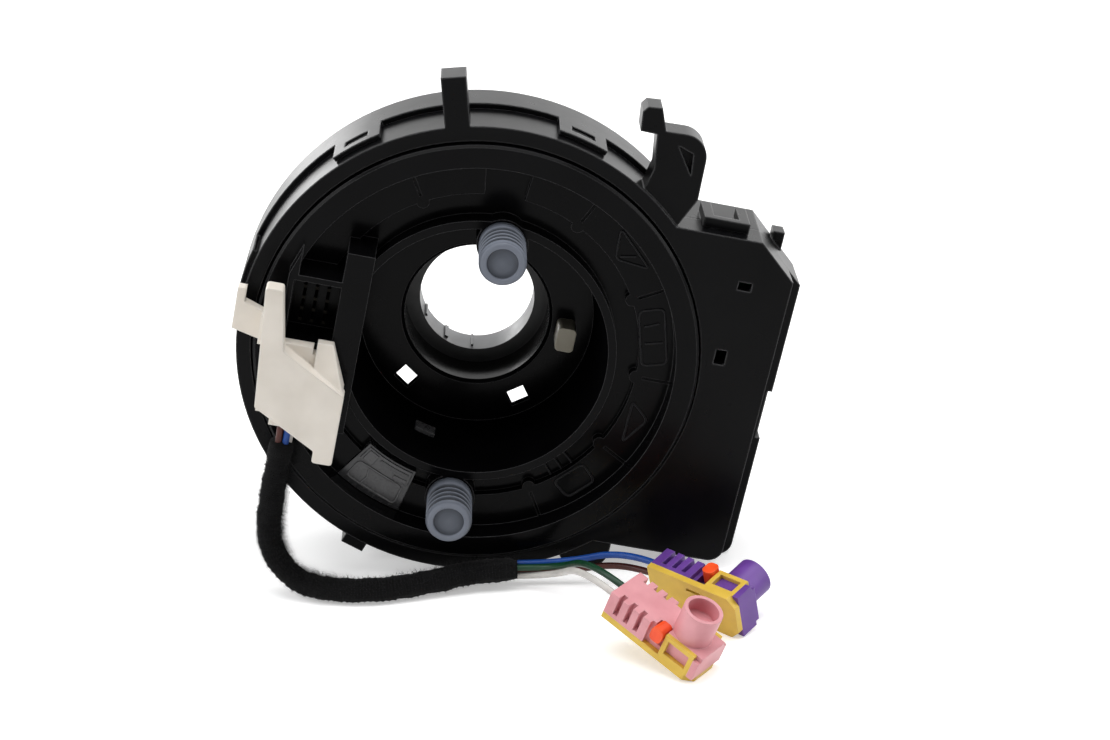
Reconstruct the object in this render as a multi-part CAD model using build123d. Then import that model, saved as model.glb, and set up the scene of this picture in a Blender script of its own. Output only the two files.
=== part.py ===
from build123d import *
import math
import os

# Steering clock spring, standing on its ring and on the corner of its electronics box.
# The pieces are modelled with the column axis along Z and the box towards +X, then stood up:
# the front then looks along -Y and the origin is on the column axis, at the rear end of the hub.
# Depths are measured backwards from the front face of the rotor's rim, in millimetres.

# Rotor, from the throat outwards: funnel, lip, channel, shelf and rim
throat_step = 1.4
throat_wall = 1.9
throat_bevel = 0.9
funnel_width = 14.5
funnel_wall = 2.0
funnel_taper = 2.6
funnel_depth = 31.0
funnel_floor = 2.5
lip_width = 2.2
lip_depth = 3.65
channel_width = 6.0
channel_step = 2.5
shelf_width = 9.0
tray_depth = 7.0
tray_floor = 2.2
tray_wall = 2.0
rim_width = 5.9
rim_thickness = 2.2
rim_skirt = 5.0
rim_bevel = 0.6

# Rotor: segment grooves, the notch behind the upper plug, and the slots in the funnel's floor
segment_angles = (-60.0, -29.0, 0.0, 29.5, 63.5, 119.5)
groove_width = 0.7
groove_depth = 0.6
nub_radius = 1.7
notch_start = 84.0
notch_sweep = 14.0
slot_offset = 5.0
slot_angle = 35.5
slot_width = 5.2
slot_length = 4.4

# Rear hub with the column bore
hub_reach = 4.0
hub_room = 6.0
bore_radius = 15.6
hub_wall = 2.4
hub_flange = 2.0
bead_height = 0.9
bead_length = 1.2

# Corrugated plugs on their bosses
plug_radius = 6.0
plug_tip_radius = 5.6
plug_rib_depth = 0.9
plug_ribs = 4
plug_rib_pitch = 2.4
plug_foot = 3.4
plug_nose = 1.4
plug_dish_radius = 4.0
plug_dish_depth = 1.0
plug_x = 0.8
upper_plug_inset = 3.4
lower_plug_offset = 5.9
boss_wall = 0.6
boss_drop = 5.0

# Window that shows the centred position
window_start = -125.3
window_sweep = 22.0
window_gap = 2.5
window_rise = 0.6
window_ledge = 2.0
window_ledge_sweep = 3.0
fit_gap = 0.15

# Index tab on the funnel's floor
tab_offset = 2.7
tab_width = 6.6
tab_thickness = 5.0
tab_height = 7.5
tab_round = 1.2

# Connector tower on the rotor
tower_front = 5.0
tower_inset = 3.9
rail_width = 7.0
rail_low_y = -25.0
rail_high_y = 24.0
socket_width = 13.4
socket_low_y = -3.0
socket_height = 19.0
socket_wall = 1.5
socket_depth = 11.5
fin_thickness = 2.4
fin_length = 6.5
pin_size = 0.8
socket_pin_height = 5.5
socket_pin_pitch = 3.0
socket_pin_columns = 3
socket_pin_rows = 4

# White connector on the rotor: its cover is a slanted parallelogram with a post, an arm and a lug.
# What lies to its left and right is measured from the tower's outer side
white_front = 13.5
white_cover = 5.0
white_left = 18.3
white_right = 5.4
white_taper = 2.1
white_top_y = -1.7
white_side = 16.2
white_slant = 29.5
white_round = 0.8
white_lug_width = 5.2
white_lug_drop = 3.2
post_width = 4.4
post_flare = 2.6
post_high_y = 14.4
plug_body_left = 16.0
plug_body_low_y = -21.0
step_left = 4.2
step_high_y = -1.2
arm_reach = 7.0
arm_low_y = -2.8
arm_width = 7.5
arm_rise = 1.7
arm_thickness = 3.2
arm_lift = 2.0
arm_tip_width = 2.2
arm_tip_height = 3.6
lever_width = 4.0
lever_spread = 4.4
lever_gap = 0.8
lever_top_y = 0.0
lever_front = 12.0
lever_tip = 2.6
spout_left = 8.0
spout_width = 8.4
spout_low_y = -24.2
spout_level = 5.2

# Stator shells
flange_depth = 1.6
ring_land = 3.8
shell_wall = 2.0
rim_gap = 0.6
seam_depth = 17.0
back_depth = 29.0
drum_gap = 1.5
collar_depth = 50.0
collar_window_angle = 28.5
collar_window_sweep = 32.0
collar_window_inner = 2.7
collar_window_outer = 0.9
hub_gap = 0.3

# Electronics box: its plate has two square holes, placed from the right and top edges
box_overhang = 13.7
box_high_y = 44.2
box_low_y = -46.3
box_chamfer_x = 10.1
box_chamfer_y = 9.1
box_corner = 4.0
box_seam_depth = 11.0
box_depth = 27.0
tray_margin_x = 3.9
tray_margin_y = 2.3
ledge_thickness = 2.0
board_lift = 4.4
board_thickness = 1.6
board_margin = 1.2
post_radius = 2.2
post_inset = 7.0
peg_size = 3.0
peg_drop = 3.0
plate_holes = [(11.9, 12.4, 3.4, 2.2), (13.6, 32.5, 2.8, 4.0)]
side_notch_low_y = -12.7
side_notch_high_y = 1.0
side_notch_depth = 1.2
side_notch_length = 5.0

# Snap tongues of the rear shell over the front shell
tongue_wall = 1.4
tongue_angles = (129.5, 75.5, 171.0, -132.0)
tongue_sweep = 12.0
tongue_front = 6.0
tongue_window_sweep = 6.0
tongue_window_front = 9.0
tongue_window_rear = 13.0
catch_height = 0.9
catch_gap = 0.5

# Lugs, bracket and foot of the front shell
lug_angle = 105.2
lug_width = 6.3
lug_length = 12.6
lug_thickness = 9.0
stub_angle = -109.0
stub_length = 6.1
stub_front = 9.0
bracket_angle = 54.0
bracket_front = 3.0
bracket_round = 6.0
bracket_recess = 3.0
bracket_plate = [
    (10.0, 18.4), (10.4, 2.0), (6.8, -5.6), (2.0, -10.0), (-4.0, 0.0), (-2.2, 8.0), (-3.4, 16.8),
    (-7.6, 16.9), (-8.1, 21.8), (-7.0, 23.3), (-3.4, 23.6), (-1.3, 18.0),
]
bracket_pocket = [(2.6, 14.9), (6.6, 13.5), (7.2, 7.9)]
foot_x = 38.5
foot_radius = 7.0

# Latch on the top of the box
latch_inset = 19.5
latch_width = 11.8
latch_height = 2.8
latch_front = 5.6
latch_bar = 2.4
latch_leg = 2.6
latch_rear = 18.0
latch_catch = 1.6

# Header for the vehicle's plug, behind the box
header_inset = 6.6
header_y = -29.0
header_width = 15.0
header_height = 23.0
header_length = 12.0
header_wall = 1.5
header_pin_reach = 6.0
header_pin_pitch_x = 5.0
header_pin_pitch_y = 3.6
header_pin_columns = 2
header_pin_rows = 5
header_slot_margin = 2.0

# Wound ribbon
ribbon_gap = 1.6
ribbon_outer_gap = 1.0
ribbon_turns = 3
ribbon_thickness = 0.6
ribbon_front_gap = 1.2
ribbon_rear_gap = 0.3

# Airbag connectors: sizes of one, then each one's place on the floor and its turn, pitch and lean
squib_length = 28.4
squib_width = 12.6
squib_height = 8.4
cover_height = 1.8
cover_corner = 2.4
frame_inset = 1.8
frame_length = 9.0
frame_wall = 1.2
frame_bar = 1.3
nose_radius = 5.0
nose_height = 8.4
nose_inset = 7.0
nose_recess_radius = 4.0
nose_recess = 4.0
wire_slots = 3
wire_slot_start = 2.6
wire_slot_pitch = 3.2
wire_slot_width = 1.3
wire_slot_depth = 2.2
waist_start = 12.6
waist_depth = 1.4
lock_inset = 2.0
lock_length = 3.4
lock_width = 4.2
lock_height = 4.0
lock_rise = 0.6
lock_travel = 2.0
lock_gap = 0.2
lock_reach = 0.9
lock_round = 1.2
key_slit_width = 0.9
key_slit_length = 3.4
key_slit_pitch = 2.0
key_slit_offset = 0.6
rail_slot_length = 4.8
rail_slot_width = 0.9
rail_slot_inset = 2.0
squib_places = {"purple": (44.3, -71.3, -44.0, 0.0, -76.0), "pink": (34.3, -90.2, -38.0, 22.0, 0.0)}

# Cords: the tape's route in the standing frame after its straight lead, then for each wire its place in the
# tape's end (across, up), its first run, its connector and its entry there (across, up)
tape_diameter = 6.2
wire_diameter = 1.8
wire_lead = 12.0
tape_lead = 11.0
tape_route = [
    (-53.6, -60.2, -36.4),
    (-54.9, -60.6, -46.0),
    (-52.8, -61.6, -53.4),
    (-47.3, -63.8, -58.4),
    (-39.2, -66.4, -59.6),
    (-26.5, -67.2, -59.6),
    (-12.0, -63.4, -59.2),
    (1.0, -60.2, -57.6),
    (10.0, -60.2, -57.6),
]
wire_routes = {
    "wire_blue": (1.3, 1.1, 12.0, "purple", -3.4, 4.6),
    "wire_brown": (1.1, -1.3, 12.0, "purple", 0.6, 4.6),
    "wire_green": (-1.3, 1.2, 11.0, "pink", 1.2, 5.6),
    "wire_white": (-1.2, -1.2, 10.0, "pink", -2.4, 5.0),
}

# Worked out from the driving sizes: the rotor
hub_depth = collar_depth + hub_reach
throat_depth = collar_depth - hub_room
hub_radius = bore_radius + hub_wall
throat_radius = hub_radius + throat_step
throat_outer = throat_radius + throat_wall
lip_radius = throat_radius + funnel_width
lip_outer = lip_radius + lip_width
shelf_inner = lip_outer + channel_width
rim_inner = shelf_inner + shelf_width
rim_radius = rim_inner + rim_width
channel_depth = tray_depth + channel_step
tray_back = channel_depth + tray_floor
drum_radius = lip_radius + funnel_wall
funnel_back = funnel_depth + funnel_floor
slot_radius = throat_outer + slot_offset
tab_x = throat_outer + tab_offset
upper_plug_y = lip_radius - upper_plug_inset
lower_plug_y = -lip_outer - lower_plug_offset
window_inner = lip_outer + window_gap
tower_inner_x = tower_inset - lip_radius
tower_outer_x = tower_inner_x - rail_width
socket_left_x = tower_outer_x - socket_width
socket_high_y = socket_low_y + socket_height
socket_floor = socket_depth - tower_front
white_left_x = tower_outer_x - white_left
white_right_x = tower_outer_x + white_right
plug_body_x = tower_outer_x - plug_body_left
step_x = tower_outer_x - step_left
spout_x = tower_outer_x - spout_left

# Worked out from the driving sizes: the stator
opening_radius = rim_radius + rim_gap
ring_radius = opening_radius + ring_land
rear_radius = ring_radius + tongue_wall
plate_back = flange_depth + shell_wall
collar_inner = drum_radius + drum_gap
collar_outer = collar_inner + shell_wall
box_x = ring_radius + box_overhang
tray_x = box_x + tray_margin_x
tray_low_y = box_low_y - tray_margin_y
tray_floor_depth = box_depth - shell_wall
latch_x = box_x - latch_inset
header_x = box_x - header_inset
board_back = tray_floor_depth - board_lift
board_depth = board_back - board_thickness
ribbon_start = collar_outer + ribbon_gap
ribbon_room = ring_radius - shell_wall - ribbon_outer_gap - ribbon_thickness - ribbon_start
ribbon_pitch = ribbon_room / ribbon_turns

# Worked out from the driving sizes: the airbag connectors
frame_end = squib_length - frame_inset
frame_start = frame_end - frame_length
nose_x = squib_length - nose_inset
lock_x = frame_start - lock_inset

# The part stands on its rear ring and on the rounded corner of the tray: this roll puts both on the floor
corner_x = tray_x - box_corner
corner_y = tray_low_y + box_corner
corner_swing = math.acos((rear_radius - box_corner) / math.hypot(corner_x, corner_y))
floor_angle = math.atan2(corner_y, corner_x) - corner_swing
roll = -90.0 - math.degrees(floor_angle)
stand = Rot(90, 0, 0) * Rot(0, 0, roll)
floor_z = -rear_radius
base = (Align.CENTER, Align.CENTER, Align.MIN)
foot_y = (rear_radius - foot_radius - foot_x * math.cos(floor_angle)) / math.sin(floor_angle)


def level(depth):
    return hub_depth - depth


def prism(face, front, rear):
    return extrude(Pos(0, 0, level(rear)) * face, amount=rear - front, dir=(0, 0, 1))


def block(x0, x1, y0, y1, front, rear):
    middle = Pos((x0 + x1) / 2, (y0 + y1) / 2, level((front + rear) / 2))
    return middle * Box(x1 - x0, y1 - y0, rear - front)


def disc(radius, front, rear):
    return Pos(0, 0, level(rear)) * Cylinder(radius, rear - front, align=base)


def outline(points):
    return make_face(Polyline(*points, close=True))


def sector(inner, outer, start, sweep):
    far = CenterArc((0, 0), outer, start, sweep)
    near = CenterArc((0, 0), inner, start, sweep)
    return make_face([far, Line(far @ 1, near @ 1), near, Line(near @ 0, far @ 0)])


def spun(profile):
    points = [(radius, level(depth)) for radius, depth in profile]
    return revolve(Plane.XZ * outline(points), Axis.Z)


def radial_bar(angle, inner, outer, width, front, rear):
    return Rot(0, 0, angle) * block(inner, outer, -width / 2, width / 2, front, rear)


# Rotor pieces

def rotor_disc():
    body = spun([
        (rim_radius, rim_bevel), (rim_radius - rim_bevel, 0), (rim_inner, 0), (rim_inner, tray_depth),
        (shelf_inner, tray_depth), (shelf_inner, channel_depth), (lip_outer, channel_depth),
        (lip_outer, lip_depth), (lip_radius, lip_depth), (lip_radius - funnel_taper, funnel_depth),
        (throat_radius + throat_bevel, funnel_depth), (throat_radius, funnel_depth + throat_bevel),
        (throat_radius, throat_depth), (throat_outer, throat_depth), (throat_outer, funnel_back),
        (drum_radius - funnel_taper, funnel_back), (drum_radius, tray_back),
        (rim_inner + tray_wall, tray_back), (rim_inner + tray_wall, rim_thickness),
        (rim_radius - tray_wall, rim_thickness), (rim_radius - tray_wall, rim_skirt), (rim_radius, rim_skirt),
    ])
    body = connector_tower(body)
    body += plug_boss(upper_plug_y, tray_back + boss_drop)
    body += plug_boss(lower_plug_y, tray_back)
    for angle in segment_angles:
        body -= radial_bar(angle, shelf_inner, rim_inner, groove_width, tray_depth, tray_depth + groove_depth)
        body += Rot(0, 0, angle) * Pos(shelf_inner, 0, 0) * disc(nub_radius, tray_depth, channel_depth)
    body -= prism(sector(shelf_inner, rim_inner, notch_start, notch_sweep), tray_depth, channel_depth)
    seat = sector(window_inner - fit_gap, rim_inner, window_start, window_sweep)
    body -= prism(seat, lip_depth, channel_depth)
    view = sector(window_inner + window_ledge, rim_inner - window_ledge,
                  window_start + window_ledge_sweep, window_sweep - 2 * window_ledge_sweep)
    body -= prism(view, lip_depth, tray_back)
    for side in (-1, 1):
        slot = block(-slot_length / 2, slot_length / 2, -slot_width / 2, slot_width / 2,
                     funnel_depth, funnel_back)
        body -= Rot(0, 0, -90 + side * slot_angle) * Pos(slot_radius, 0, 0) * slot
    return body


def connector_tower(body):
    rail = block(tower_outer_x, tower_inner_x, rail_low_y, rail_high_y, -tower_front, channel_depth)
    chord = block(tower_outer_x, tower_inner_x, -drum_radius, drum_radius, lip_depth, funnel_depth)
    body += rail
    body += chord & disc(drum_radius, lip_depth, funnel_depth)
    body += block(socket_left_x, tower_outer_x, socket_low_y, socket_high_y, -tower_front, tray_depth)
    fin_right_x = socket_left_x + fin_thickness
    fin = outline([(socket_left_x, socket_high_y), (fin_right_x, socket_high_y),
                   (fin_right_x, socket_high_y + fin_length)])
    body += prism(fin, -tower_front, tray_depth)
    body -= block(socket_left_x + socket_wall, tower_outer_x, socket_low_y + socket_wall,
                  socket_high_y - socket_wall, -tower_front, socket_floor)
    return body


def plug_boss(y, rear):
    return Pos(plug_x, y, 0) * disc(plug_radius + boss_wall, lip_depth, rear)


def rear_hub():
    bead = collar_depth + bead_length / 2
    return spun([
        (bore_radius, throat_depth), (throat_outer, throat_depth),
        (throat_outer, throat_depth + hub_flange), (hub_radius, throat_depth + hub_flange),
        (hub_radius, bead), (hub_radius + bead_height, bead + bead_length / 2),
        (hub_radius, bead + 2 * bead_length), (hub_radius, hub_depth), (bore_radius, hub_depth),
    ])


def corrugated_plug(y):
    profile = [(0, 0), (plug_radius, 0), (plug_radius, plug_foot)]
    height = plug_foot
    for rib in range(plug_ribs):
        profile.append((plug_radius - plug_rib_depth, height + plug_rib_pitch / 2))
        height += plug_rib_pitch
        profile.append((plug_radius, height))
    tip = height + plug_nose
    profile += [(plug_tip_radius, tip), (plug_dish_radius, tip)]
    profile += [(plug_dish_radius, tip - plug_dish_depth), (0, tip - plug_dish_depth)]
    solid = revolve(Plane.XZ * outline(profile), Axis.Z)
    return Pos(plug_x, y, level(lip_depth)) * solid


def centre_window():
    gap_angle = math.degrees(fit_gap / window_inner)
    pane = sector(window_inner, rim_inner - fit_gap, window_start + gap_angle, window_sweep - 2 * gap_angle)
    return prism(pane, tray_depth - window_rise, channel_depth)


def index_tab():
    tab = Pos(tab_x, 0, level(funnel_depth)) * Box(tab_thickness, tab_width, tab_height, align=base)
    return fillet(tab.edges().filter_by(Axis.Z), tab_round)


def pin_grid(x, y, columns, rows, pitch_x, pitch_y, front, rear):
    pins = []
    half = pin_size / 2
    for column in range(columns):
        pin_x = x + (column - (columns - 1) / 2) * pitch_x
        for row in range(rows):
            pin_y = y + (row - (rows - 1) / 2) * pitch_y
            pins.append(block(pin_x - half, pin_x + half, pin_y - half, pin_y + half, front, rear))
    return pins


def socket_pins():
    middle_x = (socket_left_x + socket_wall + tower_outer_x) / 2
    middle_y = (socket_low_y + socket_high_y) / 2
    return pin_grid(middle_x, middle_y, socket_pin_columns, socket_pin_rows, socket_pin_pitch,
                    socket_pin_pitch, socket_floor - socket_pin_height, socket_floor)


def white_connector():
    fall = math.tan(math.radians(white_slant))
    back = white_cover - white_front
    seat = -tower_front - fit_gap
    post_right_x = white_left_x + post_width
    shoulder_x = post_right_x + post_flare
    low_left_x = white_left_x + white_taper
    low_left_y = white_top_y - white_side
    right_top_y = white_top_y - fall * (white_right_x - shoulder_x)
    lug_left_x = white_right_x - white_lug_width
    lug_top_y = low_left_y - fall * (lug_left_x - low_left_x)
    lug_low_y = lug_top_y - white_lug_drop
    cover = outline([
        (white_left_x, post_high_y), (post_right_x, post_high_y), (shoulder_x, white_top_y),
        (white_right_x, right_top_y), (white_right_x, lug_low_y), (lug_left_x, lug_low_y),
        (lug_left_x, lug_top_y), (low_left_x, low_left_y),
    ])
    solid = prism(fillet(cover.vertices(), white_round), -white_front, back)
    plug_right_x = tower_outer_x - fit_gap
    plug_high_y = socket_low_y - fit_gap
    plug = block(plug_body_x, plug_right_x, plug_body_low_y, plug_high_y, back, tray_depth)
    solid += plug & disc(rim_inner - fit_gap, -fit_gap, tray_depth)
    solid += block(plug_body_x, plug_right_x, plug_body_low_y, plug_high_y, back, -fit_gap)
    solid += block(plug_body_x, step_x, plug_body_low_y, step_high_y, back, seat)
    neck_right_x = socket_left_x - fit_gap
    arm_high_y = arm_low_y + arm_width
    arm_end_x = white_left_x - arm_reach
    tip_x = arm_end_x + arm_tip_width
    tip_y = arm_high_y + arm_rise + arm_tip_height
    solid += block(white_left_x, neck_right_x, arm_low_y, arm_high_y, back, -arm_lift)
    arm = outline([
        (white_left_x, arm_low_y), (white_left_x, arm_high_y), (tip_x, arm_high_y + arm_rise),
        (tip_x, tip_y), (arm_end_x, tip_y), (arm_end_x, arm_low_y + arm_rise),
    ])
    solid += prism(arm, -arm_lift - arm_thickness, -arm_lift)
    lever_x = step_x + lever_gap
    lever_right_x = lever_x + lever_width
    lever = outline([(lever_top_y, level(seat)), (lever_top_y, level(seat - lever_tip)),
                     (right_top_y, level(-lever_front)), (right_top_y, level(seat))])
    side = Pos(lever_x, 0, 0) * (Plane.YZ * lever)
    plan = outline([(lever_x, lever_top_y), (lever_right_x, lever_top_y),
                    (lever_right_x + lever_spread, right_top_y), (lever_x, right_top_y)])
    solid += extrude(side, amount=lever_width + lever_spread, dir=(1, 0, 0)) & prism(plan, -lever_front, seat)
    half = spout_width / 2
    solid += block(spout_x - half, spout_x + half, spout_low_y, plug_body_low_y, back, -fit_gap)
    return solid


# Stator pieces

def box_outline(margin_x, margin_y, inset):
    x = box_x + margin_x - inset
    high = box_high_y - inset
    low = box_low_y - margin_y + inset
    turn_x = box_x - box_chamfer_x - inset
    slope = box_chamfer_y / box_chamfer_x
    face = outline([(0, low), (x, low), (x, high - slope * (x - turn_x)), (turn_x, high), (0, high)])
    corner = face.vertices().sort_by_distance((x, low, 0))[0]
    return fillet(corner, box_corner - inset)


def front_housing():
    body = disc(ring_radius, flange_depth, seam_depth)
    body += prism(box_outline(0, 0, 0), flange_depth, box_seam_depth)
    room = prism(box_outline(0, 0, shell_wall), plate_back, box_seam_depth)
    body -= room - disc(ring_radius, plate_back, seam_depth)
    body += radial_bar(lug_angle, ring_radius - shell_wall, ring_radius + lug_length, lug_width, flange_depth,
                       flange_depth + lug_thickness)
    body += radial_bar(stub_angle, ring_radius - shell_wall, ring_radius + stub_length, lug_width, stub_front,
                       seam_depth)
    body += hook_bracket()
    body += standing_foot()
    body -= disc(opening_radius, flange_depth, plate_back)
    body -= disc(ring_radius - shell_wall, plate_back, seam_depth)
    catch_sweep = tongue_window_sweep - 2 * math.degrees(catch_gap / ring_radius)
    for angle in tongue_angles:
        wedge = sector(ring_radius - shell_wall / 2, ring_radius + catch_height, angle - catch_sweep / 2,
                       catch_sweep)
        body += prism(wedge, tongue_window_front + catch_gap, tongue_window_rear - catch_gap)
    body += block(latch_x - latch_catch, latch_x + latch_catch, box_high_y, box_high_y + latch_catch,
                  latch_front + latch_bar + catch_gap, box_seam_depth - catch_gap)
    for from_right, from_top, width, height in plate_holes:
        x = box_x - from_right
        y = box_high_y - from_top
        body -= block(x - width / 2, x + width / 2, y - height / 2, y + height / 2, flange_depth, plate_back)
    return body


def hook_bracket():
    angle = math.radians(bracket_angle)
    root = Pos(ring_radius * math.cos(angle), ring_radius * math.sin(angle), 0)
    plate = outline(bracket_plate)
    shoulder = plate.vertices().sort_by_distance(bracket_plate[0] + (0,))[0]
    plate = fillet(shoulder, bracket_round)
    hook = prism(plate, bracket_front, box_seam_depth)
    hook -= prism(outline(bracket_pocket), bracket_front, bracket_front + bracket_recess)
    return root * hook


def standing_foot():
    pad = Pos(foot_x, foot_y, 0) * disc(foot_radius, bracket_front, box_seam_depth)
    return pad + block(foot_x - foot_radius, foot_x + foot_radius, foot_y, box_low_y + shell_wall,
                       bracket_front, box_seam_depth)


def rear_housing():
    body = disc(rear_radius, seam_depth, back_depth)
    body += prism(box_outline(tray_margin_x, tray_margin_y, 0), box_seam_depth, box_depth)
    body -= disc(ring_radius + fit_gap, box_seam_depth, seam_depth)
    mouth = prism(box_outline(0, 0, shell_wall), box_seam_depth, box_seam_depth + ledge_thickness)
    hollow = prism(box_outline(tray_margin_x, tray_margin_y, shell_wall),
                   box_seam_depth + ledge_thickness, tray_floor_depth)
    body -= (mouth + hollow) - disc(rear_radius, box_seam_depth, box_depth)
    body -= disc(rear_radius - shell_wall, seam_depth, back_depth - shell_wall)
    body += disc(collar_outer, back_depth - shell_wall, collar_depth)
    body -= disc(collar_inner, back_depth - shell_wall, collar_depth - shell_wall)
    body -= disc(hub_radius + hub_gap, collar_depth - shell_wall, collar_depth)
    for side in (-1, 1):
        start = -90 + side * collar_window_angle - collar_window_sweep / 2
        view = sector(throat_outer + collar_window_inner, collar_inner - collar_window_outer, start,
                      collar_window_sweep)
        body -= prism(view, collar_depth - shell_wall, collar_depth)
    for angle in tongue_angles:
        tongue = sector(ring_radius + fit_gap, rear_radius, angle - tongue_sweep / 2, tongue_sweep)
        slot = sector(ring_radius, rear_radius + shell_wall, angle - tongue_window_sweep / 2,
                      tongue_window_sweep)
        body += prism(tongue, tongue_front, seam_depth) - prism(slot, tongue_window_front, tongue_window_rear)
    for x, y in board_posts():
        body += Pos(x, y, 0) * disc(post_radius, board_back, tray_floor_depth)
    body += latch()
    body -= header_opening()
    peg_x = tray_x - box_chamfer_x / 2
    peg_low_y = box_high_y - box_chamfer_y / box_chamfer_x * (peg_x + box_chamfer_x - box_x)
    body += block(peg_x - peg_size, peg_x, peg_low_y - shell_wall, box_high_y - peg_drop,
                  tray_floor_depth - peg_size, box_depth)
    body -= block(tray_x - side_notch_depth, tray_x, side_notch_low_y, side_notch_high_y, box_seam_depth,
                  box_seam_depth + side_notch_length)
    return body


def board_posts():
    right = tray_x - shell_wall - post_inset
    high = box_high_y - shell_wall - post_inset
    low = tray_low_y + shell_wall + post_inset
    left = right - 3 * post_inset
    return [(right, low), (left, low), (left, high), (right, high - box_chamfer_y)]


def latch():
    half = latch_width / 2
    low = box_high_y + fit_gap
    high = box_high_y + latch_height
    loop = block(latch_x - half, latch_x + half, low, high, latch_front, latch_front + latch_bar)
    for side in (-1, 1):
        edges = sorted([latch_x + side * half, latch_x + side * (half - latch_leg)])
        loop += block(edges[0], edges[1], low, high, latch_front, box_seam_depth)
        loop += block(edges[0], edges[1], box_high_y, high, box_seam_depth, latch_rear)
    return loop


def header_opening():
    half_x = (header_pin_columns - 1) / 2 * header_pin_pitch_x + header_slot_margin
    half_y = (header_pin_rows - 1) / 2 * header_pin_pitch_y + header_slot_margin
    return block(header_x - half_x, header_x + half_x, header_y - half_y, header_y + half_y,
                 tray_floor_depth, box_depth)


def circuit_board():
    face = box_outline(tray_margin_x, tray_margin_y, shell_wall + board_margin)
    return prism(face, board_depth, board_back) - disc(rear_radius + board_margin, board_depth, board_back)


def header_pins():
    floor = box_depth + header_wall
    return pin_grid(header_x, header_y, header_pin_columns, header_pin_rows, header_pin_pitch_x,
                    header_pin_pitch_y, board_back, floor + header_pin_reach)


def header_shroud():
    half_x = header_width / 2
    half_y = header_height / 2
    rear = box_depth + header_length
    body = block(header_x - half_x, header_x + half_x, header_y - half_y, header_y + half_y, box_depth, rear)
    inner_x = half_x - header_wall
    inner_y = half_y - header_wall
    body -= block(header_x - inner_x, header_x + inner_x, header_y - inner_y, header_y + inner_y,
                  box_depth + header_wall, rear)
    for pin in header_pins():
        body -= pin
    return body


def flat_cable():
    inner = []
    outer = []
    shift = ribbon_pitch / 2
    for turn in range(ribbon_turns):
        radius = ribbon_start + turn * ribbon_pitch
        inner.append(CenterArc((0, 0), radius, 0, 180))
        inner.append(CenterArc((shift, 0), radius + shift, 180, 180))
        outer.append(CenterArc((0, 0), radius + ribbon_thickness, 0, 180))
        outer.append(CenterArc((shift, 0), radius + shift + ribbon_thickness, 180, 180))
    ends = [Line(inner[0] @ 0, outer[0] @ 0), Line(inner[-1] @ 1, outer[-1] @ 1)]
    face = make_face(inner + outer + ends)
    return prism(face, tray_back + ribbon_front_gap, back_depth - shell_wall - ribbon_rear_gap)


# Airbag connectors, in their own frame: X from the wire end to the nose, Z up from the floor

def bar(x0, x1, y0, y1, low, high):
    return Pos((x0 + x1) / 2, (y0 + y1) / 2, low) * Box(x1 - x0, y1 - y0, high - low, align=base)


def squib_body():
    half = squib_width / 2
    waist = half - waist_depth
    core = half - frame_wall
    body = bar(0, waist_start, -half, half, cover_height, squib_height)
    body += bar(waist_start, frame_start, -waist, waist, cover_height, squib_height)
    body += bar(frame_start, squib_length, -core, core, cover_height, squib_height)
    body += bar(frame_end, squib_length, -half, half, cover_height, squib_height - frame_wall)
    for side in (-1, 1):
        for slot in range(wire_slots):
            x = wire_slot_start + slot * wire_slot_pitch
            edges = sorted([side * half, side * (half - wire_slot_depth)])
            body -= bar(x, x + wire_slot_width, edges[0], edges[1], cover_height + frame_wall, squib_height)
    body += Pos(nose_x, 0, squib_height) * Cylinder(nose_radius, nose_height, align=base)
    rim = squib_height + nose_height
    body -= Pos(nose_x, 0, rim - nose_recess) * Cylinder(nose_recess_radius, nose_recess, align=base)
    pocket = squib_height + lock_rise - lock_height - lock_travel
    reach = lock_length / 2 + lock_gap
    body -= bar(lock_x - reach, lock_x + reach, -half, -lock_inner_y(), pocket, squib_height)
    return body


def lock_inner_y():
    return squib_width / 2 + lock_reach - lock_width - lock_gap


def squib_cover():
    half = squib_width / 2
    plate = bar(0, squib_length, -half, half, 0, cover_height)
    cover = chamfer(plate.edges().filter_by(Axis.Z).sort_by(Axis.X)[-2:], cover_corner)
    for side in (-1, 1):
        edges = sorted([side * half, side * (half - frame_wall)])
        frame = bar(frame_start, frame_end, edges[0], edges[1], cover_height, squib_height)
        frame -= bar(frame_start + frame_bar, frame_end - frame_bar, edges[0], edges[1],
                     cover_height + frame_bar, squib_height - frame_bar)
        cover += frame
    for slit in range(2):
        x = frame_start + frame_bar + slit * key_slit_pitch
        cover -= bar(x, x + key_slit_width, key_slit_offset, key_slit_offset + key_slit_length, 0, cover_height)
    rail = rail_slot_inset - half
    cover -= bar(waist_start, waist_start + rail_slot_length, rail, rail + rail_slot_width, 0, cover_height)
    return cover


def squib_lock():
    outer = squib_width / 2 + lock_reach
    low = squib_height + lock_rise - lock_height
    tab = bar(lock_x - lock_length / 2, lock_x + lock_length / 2, -outer, lock_width - outer,
              low, squib_height + lock_rise)
    return fillet(tab.edges().filter_by(Axis.Y), lock_round)


def squib_place(name):
    x, y, turn, pitch, lean = squib_places[name]
    pose = Rot(0, 0, turn) * Rot(0, pitch, 0) * Rot(lean, 0, 0)
    low = (pose * squib_cover()).bounding_box().min.Z
    return Pos(x, y, floor_z - low) * pose


# Cords

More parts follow.
